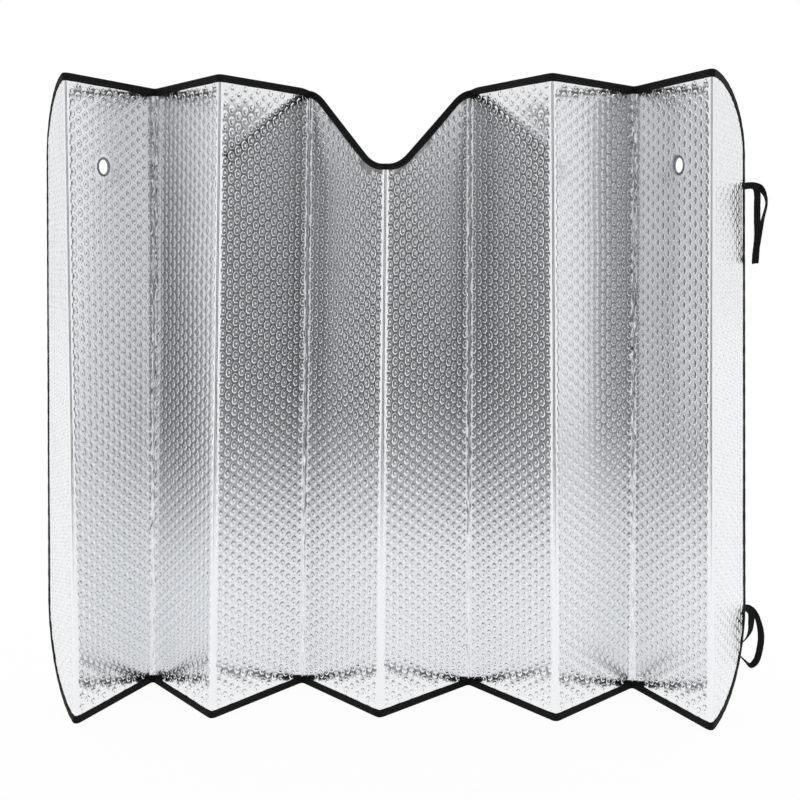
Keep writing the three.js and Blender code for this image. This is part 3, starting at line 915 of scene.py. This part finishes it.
def studio_level(nodes, links):
    """How bright the studio in front is, across it: light, dark, grey, dark, then white."""
    coordinates = nodes.new("ShaderNodeTexCoord")
    parts = nodes.new("ShaderNodeSeparateXYZ")
    links.new(coordinates.outputs["Object"], parts.inputs[0])
    side = nodes.new("ShaderNodeMath")
    side.operation = "ABSOLUTE"
    links.new(parts.outputs["X"], side.inputs[0])
    half = nodes.new("ShaderNodeMath")
    half.operation = "MULTIPLY"
    half.inputs[1].default_value = 0.5
    links.new(side.outputs[0], half.inputs[0])
    tones = nodes.new("ShaderNodeValToRGB")
    stops = tones.color_ramp.elements
    stops[0].position = STUDIO_BANDS[0][0] / 2
    stops[1].position = STUDIO_BANDS[-1][0] / 2
    for off_middle, _ in STUDIO_BANDS[1:-1]:
        stops.new(off_middle / 2)
    for stop, (_, level) in zip(stops, STUDIO_BANDS):
        stop.color = (level, level, level, 1)
    links.new(half.outputs[0], tones.inputs[0])
    return tones.outputs[0], parts


def lighter(nodes, links, tones, parts, axis, low, high, top):
    """tones, turning evenly to the brightness top as the axis goes from low to high."""
    ramp = nodes.new("ShaderNodeMapRange")
    ramp.inputs["From Min"].default_value = low
    ramp.inputs["From Max"].default_value = high
    links.new(parts.outputs[axis], ramp.inputs["Value"])
    blend = nodes.new("ShaderNodeMix")
    links.new(ramp.outputs[0], blend.inputs["Factor"])
    links.new(tones, blend.inputs["A"])
    blend.inputs["B"].default_value = top
    return blend.outputs["Result"]


tones, parts = studio_level(nodes, links)
level = lighter(nodes, links, tones, parts, "Y", -1.35, -0.45, 1.0)
seen = nodes.new("ShaderNodeMix")
links.new(path.outputs["Is Camera Ray"], seen.inputs["Factor"])
links.new(level, seen.inputs["A"])
seen.inputs["B"].default_value = 1.02
links.new(seen.outputs["Result"], glow.inputs["Strength"])
mix = nodes.new("ShaderNodeMixShader")
links.new(share.outputs[0], mix.inputs[0])
links.new(diffuse.outputs[0], mix.inputs[1])
links.new(glow.outputs[0], mix.inputs[2])
links.new(mix.outputs[0], output.inputs["Surface"])
floor.data.materials.append(white)

# Stage: a studio wall in front of the shade, seen only in the foil.
# It is light in its middle and at its ends, with dark, grey and dark bands on either side.
wall_mesh = bpy.data.meshes.new("studio_wall")
wall_mesh.from_pydata(
    [(-2.6, -1.6, 0), (2.6, -1.6, 0), (2.6, -1.6, 2.4), (-2.6, -1.6, 2.4)], [], [(0, 1, 2, 3)]
)
wall = bpy.data.objects.new("studio_wall", wall_mesh)
bpy.context.scene.collection.objects.link(wall)
paint = bpy.data.materials.new("studio_wall")
paint.use_nodes = True
nodes = paint.node_tree.nodes
links = paint.node_tree.links
nodes.clear()
output = nodes.new("ShaderNodeOutputMaterial")
glow = nodes.new("ShaderNodeEmission")
clear = nodes.new("ShaderNodeBsdfTransparent")
path = nodes.new("ShaderNodeLightPath")
tones, parts = studio_level(nodes, links)
level = lighter(nodes, links, tones, parts, "Z", 0.2, 7.0, 0.9)
level = lighter(nodes, links, level, parts, "Z", 1.0, 1.6, 0.9)
links.new(level, glow.inputs["Strength"])
mix = nodes.new("ShaderNodeMixShader")
links.new(path.outputs["Is Camera Ray"], mix.inputs[0])
links.new(glow.outputs[0], mix.inputs[1])
links.new(clear.outputs[0], mix.inputs[2])
links.new(mix.outputs[0], output.inputs["Surface"])
wall_mesh.materials.append(paint)

# Surroundings: even white light, a little dimmer than the white that the camera sees
world = bpy.data.worlds.new("studio")
bpy.context.scene.world = world
world.use_nodes = True
nodes = world.node_tree.nodes
links = world.node_tree.links
nodes.clear()
output = nodes.new("ShaderNodeOutputWorld")
around = nodes.new("ShaderNodeBackground")
around.inputs["Color"].default_value = (0.9, 0.9, 0.9, 1)
plain = nodes.new("ShaderNodeBackground")
plain.inputs["Color"].default_value = (1, 1, 1, 1)
sight = nodes.new("ShaderNodeLightPath")
mix = nodes.new("ShaderNodeMixShader")
links.new(sight.outputs["Is Camera Ray"], mix.inputs[0])
links.new(around.outputs[0], mix.inputs[1])
links.new(plain.outputs[0], mix.inputs[2])
links.new(mix.outputs[0], output.inputs["Surface"])

# Camera, level with the shade's upper half and pointing slightly down
camera = bpy.data.objects.new("camera", bpy.data.cameras.new("camera"))
bpy.context.scene.collection.objects.link(camera)
bpy.context.scene.camera = camera
camera.location = (-0.0049, -1.2552, 0.4315)
camera.rotation_euler = (math.radians(87), 0, 0)
camera.data.lens = 59.51
camera.data.shift_y = -0.0898
bpy.context.scene.view_settings.view_transform = "Standard"
